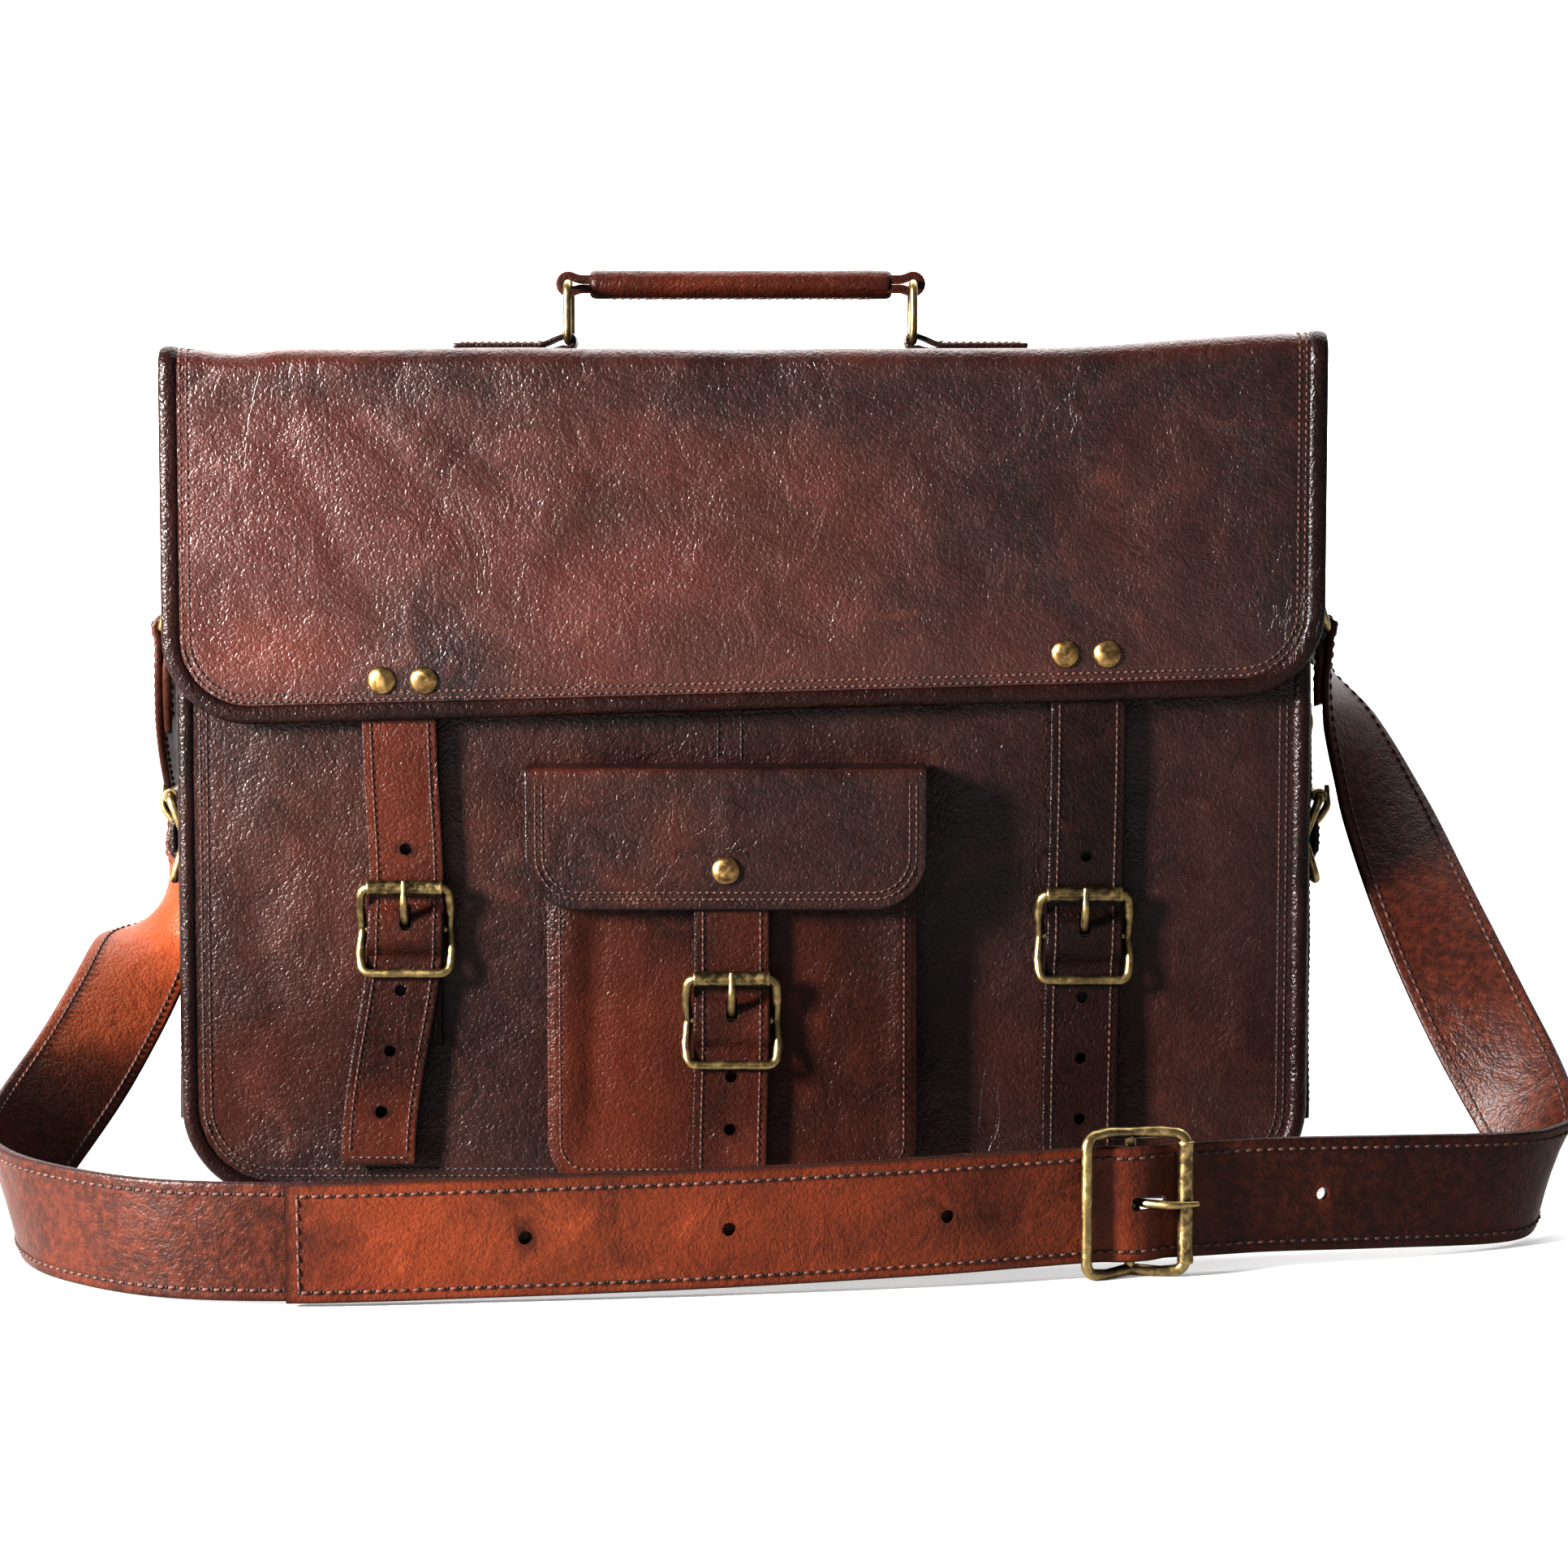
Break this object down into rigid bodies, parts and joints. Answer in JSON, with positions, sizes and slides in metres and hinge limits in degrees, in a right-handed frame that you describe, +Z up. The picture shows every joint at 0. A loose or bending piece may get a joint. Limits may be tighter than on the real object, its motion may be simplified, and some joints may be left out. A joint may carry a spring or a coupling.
{
  "type": "leather satchel bag",
  "caption": "Leather satchel with a buckled front flap, buckled front pocket, ring-hung carrying handle, side buckle straps and a long buckled shoulder strap lying in front of it.",
  "frame": {"origin": "centre of the flat base that the bag stands on", "axes": "+X to the right seen from the front, along the bag's width; +Y to the back; +Z up"},
  "size_m": [0.535, 0.3028, 0.3368],
  "materials": {
    "dark": "satin",
    "brown": "satin",
    "rust": "satin",
    "tan": "satin",
    "cloth": "matte",
    "brass": "antique, satin"
  },
  "bodies": {
    "bag": {"front_panel": "brown", "back_panel": "brown", "front_edge_roll": "dark", "back_edge_roll": "dark", "gusset": "brown", "mouth_binding": "dark", "lining": "cloth", "divider": "cloth", "chapes": "rust", "side_anchors": "dark", "side_tabs": "dark", "side_rivets": "brass", "pocket_front": "rust", "pocket_gusset": "dark"},
    "flap": {"flap_rear": "brown", "flap_rear_binding": "dark", "handle_tabs": "dark"},
    "flap_drop": {"flap_drop": "brown", "flap_drop_binding": "dark", "flap_rivets": "brass"},
    "strap_left": {"strap_left": "rust"},
    "strap_right": {"strap_right": "dark"},
    "pocket_flap": {"pocket_flap": "dark", "pocket_rivet": "brass"},
    "pocket_strap": {"pocket_strap": "rust"},
    "side_strap_left": {"side_strap_left": "dark"},
    "side_strap_right": {"side_strap_right": "dark"},
    "side_ring_left": {"side_ring_left": "brass"},
    "side_ring_right": {"side_ring_right": "brass"},
    "ring_left": {"ring_left": "brass"},
    "ring_right": {"ring_right": "brass"},
    "grip": {"grip_wrap": "dark", "grip_core": "cloth", "grip_loops": "brown"},
    "sling": {"sling_holed": "tan", "sling_buckled": "tan", "sling_chape": "tan", "sling_frame": "brass", "sling_end_left": "tan", "sling_end_right": "tan"},
    "sling_roller": {"sling_roller": "brass"},
    "sling_tongue": {"sling_tongue": "brass"},
    "buckle_left": {"buckle_left": "brass"},
    "roller_left": {"roller_left": "brass"},
    "tongue_left": {"tongue_left": "brass"},
    "buckle_right": {"buckle_right": "brass"},
    "roller_right": {"roller_right": "brass"},
    "tongue_right": {"tongue_right": "brass"},
    "buckle_pocket": {"buckle_pocket": "brass"},
    "roller_pocket": {"roller_pocket": "brass"},
    "tongue_pocket": {"tongue_pocket": "brass"},
    "buckle_side_left": {"buckle_side_left": "brass"},
    "roller_side_left": {"roller_side_left": "brass"},
    "tongue_side_left": {"tongue_side_left": "brass"},
    "buckle_side_right": {"buckle_side_right": "brass"},
    "roller_side_right": {"roller_side_right": "brass"},
    "tongue_side_right": {"tongue_side_right": "brass"}
  },
  "joints": [
    {"name": "flap_open", "type": "hinge", "parent": "bag", "child": "flap", "pos_m": [0, 0.0616, 0.30475], "axis": [-1, 0, 0], "range_deg": [0, 180]},
    {"name": "flap_drop_fold", "type": "hinge", "parent": "flap", "child": "flap_drop", "pos_m": [0, -0.0663, 0.3035], "axis": [-1, 0, 0], "range_deg": [0, 165]},
    {"name": "strap_left_lift", "type": "hinge", "parent": "flap_drop", "child": "strap_left", "pos_m": [-0.121, -0.0635, 0.1735], "axis": [-1, 0, 0], "range_deg": [0, 100], "deforming": ["strap_left"]},
    {"name": "strap_right_lift", "type": "hinge", "parent": "flap_drop", "child": "strap_right", "pos_m": [0.122, -0.0635, 0.181], "axis": [-1, 0, 0], "range_deg": [0, 100], "deforming": ["strap_right"]},
    {"name": "pocket_flap_lift", "type": "hinge", "parent": "bag", "child": "pocket_flap", "pos_m": [0, -0.0598, 0.1569], "axis": [-1, 0, 0], "range_deg": [0, 60]},
    {"name": "pocket_strap_lift", "type": "hinge", "parent": "pocket_flap", "child": "pocket_strap", "pos_m": [-0.004, -0.0775, 0.109], "axis": [-1, 0, 0], "range_deg": [0, 80], "deforming": ["pocket_strap"]},
    {"name": "side_strap_left_lift", "type": "hinge", "parent": "bag", "child": "side_strap_left", "pos_m": [-0.2085, 0, 0.166], "axis": [0, 1, 0], "range_deg": [0, 80], "deforming": ["side_strap_left"]},
    {"name": "side_ring_left_swing", "type": "hinge", "parent": "bag", "child": "side_ring_left", "pos_m": [-0.2085, 0, 0.222], "axis": [0, 1, 0], "range_deg": [0, 60]},
    {"name": "side_strap_right_lift", "type": "hinge", "parent": "bag", "child": "side_strap_right", "pos_m": [0.2085, 0, 0.166], "axis": [0, -1, 0], "range_deg": [0, 80], "deforming": ["side_strap_right"]},
    {"name": "side_ring_right_swing", "type": "hinge", "parent": "bag", "child": "side_ring_right", "pos_m": [0.2085, 0, 0.222], "axis": [0, -1, 0], "range_deg": [0, 60]},
    {"name": "buckle_left_rock", "type": "hinge", "parent": "bag", "child": "buckle_left", "pos_m": [-0.121, -0.0619, 0.099], "axis": [1, 0, 0], "range_deg": [-10, 10]},
    {"name": "roller_left_spin", "type": "hinge", "parent": "buckle_left", "child": "roller_left", "pos_m": [-0.121, -0.0679, 0.1145], "axis": [1, 0, 0], "continuous": true},
    {"name": "tongue_left_lift", "type": "hinge", "parent": "buckle_left", "child": "tongue_left", "pos_m": [-0.121, -0.0619, 0.099], "axis": [1, 0, 0], "range_deg": [0, 100]},
    {"name": "buckle_right_rock", "type": "hinge", "parent": "bag", "child": "buckle_right", "pos_m": [0.122, -0.0619, 0.0965], "axis": [1, 0, 0], "range_deg": [-10, 10]},
    {"name": "roller_right_spin", "type": "hinge", "parent": "buckle_right", "child": "roller_right", "pos_m": [0.122, -0.0679, 0.112], "axis": [1, 0, 0], "continuous": true},
    {"name": "tongue_right_lift", "type": "hinge", "parent": "buckle_right", "child": "tongue_right", "pos_m": [0.122, -0.0619, 0.0965], "axis": [1, 0, 0], "range_deg": [0, 100]},
    {"name": "buckle_pocket_rock", "type": "hinge", "parent": "bag", "child": "buckle_pocket", "pos_m": [-0.004, -0.0759, 0.068], "axis": [1, 0, 0], "range_deg": [-10, 10]},
    {"name": "roller_pocket_spin", "type": "hinge", "parent": "buckle_pocket", "child": "roller_pocket", "pos_m": [-0.004, -0.0819, 0.0835], "axis": [1, 0, 0], "continuous": true},
    {"name": "tongue_pocket_lift", "type": "hinge", "parent": "buckle_pocket", "child": "tongue_pocket", "pos_m": [-0.004, -0.0759, 0.068], "axis": [1, 0, 0], "range_deg": [0, 100]},
    {"name": "buckle_side_left_rock", "type": "hinge", "parent": "bag", "child": "buckle_side_left", "pos_m": [-0.2069, 0, 0.127], "axis": [0, -1, 0], "range_deg": [-10, 10]},
    {"name": "roller_side_left_spin", "type": "hinge", "parent": "buckle_side_left", "child": "roller_side_left", "pos_m": [-0.2129, 0, 0.1425], "axis": [0, -1, 0], "continuous": true},
    {"name": "tongue_side_left_lift", "type": "hinge", "parent": "buckle_side_left", "child": "tongue_side_left", "pos_m": [-0.2069, 0, 0.127], "axis": [0, -1, 0], "range_deg": [0, 100]},
    {"name": "buckle_side_right_rock", "type": "hinge", "parent": "bag", "child": "buckle_side_right", "pos_m": [0.2069, 0, 0.127], "axis": [0, 1, 0], "range_deg": [-10, 10]},
    {"name": "roller_side_right_spin", "type": "hinge", "parent": "buckle_side_right", "child": "roller_side_right", "pos_m": [0.2129, 0, 0.1425], "axis": [0, 1, 0], "continuous": true},
    {"name": "tongue_side_right_lift", "type": "hinge", "parent": "buckle_side_right", "child": "tongue_side_right", "pos_m": [0.2069, 0, 0.127], "axis": [0, 1, 0], "range_deg": [0, 100]},
    {"name": "ring_left_swing", "type": "hinge", "parent": "flap", "child": "ring_left", "pos_m": [-0.065, 0, 0.31025], "axis": [0, 1, 0], "range_deg": [-55, 55]},
    {"name": "ring_right_swing", "type": "hinge", "parent": "flap", "child": "ring_right", "pos_m": [0.062, 0, 0.31025], "axis": [0, 1, 0], "range_deg": [-55, 55]},
    {"name": "grip_swing", "type": "hinge", "parent": "ring_left", "child": "grip", "pos_m": [-0.065, 0, 0.33125], "axis": [0, 1, 0], "range_deg": [-55, 55]},
    {"name": "sling_swing", "type": "hinge", "parent": "bag", "child": "sling", "pos_m": [0, 0, 0.20486], "axis": [-1, 0, 0], "range_deg": [0, 200], "deforming": ["sling_end_left", "sling_end_right"]},
    {"name": "sling_roller_spin", "type": "hinge", "parent": "sling", "child": "sling_roller", "pos_m": [0.1461, -0.1917, 0.0248], "axis": [0, 0, -1], "continuous": true},
    {"name": "sling_tongue_lift", "type": "hinge", "parent": "sling", "child": "sling_tongue", "pos_m": [0.128, -0.19, 0.0248], "axis": [0, 0, -1], "range_deg": [0, 60]}
  ],
  "couplings": [
    {"joint": "ring_right_swing", "follows": "ring_left_swing", "ratio": 1},
    {"joint": "grip_swing", "follows": "ring_left_swing", "ratio": -1}
  ]
}
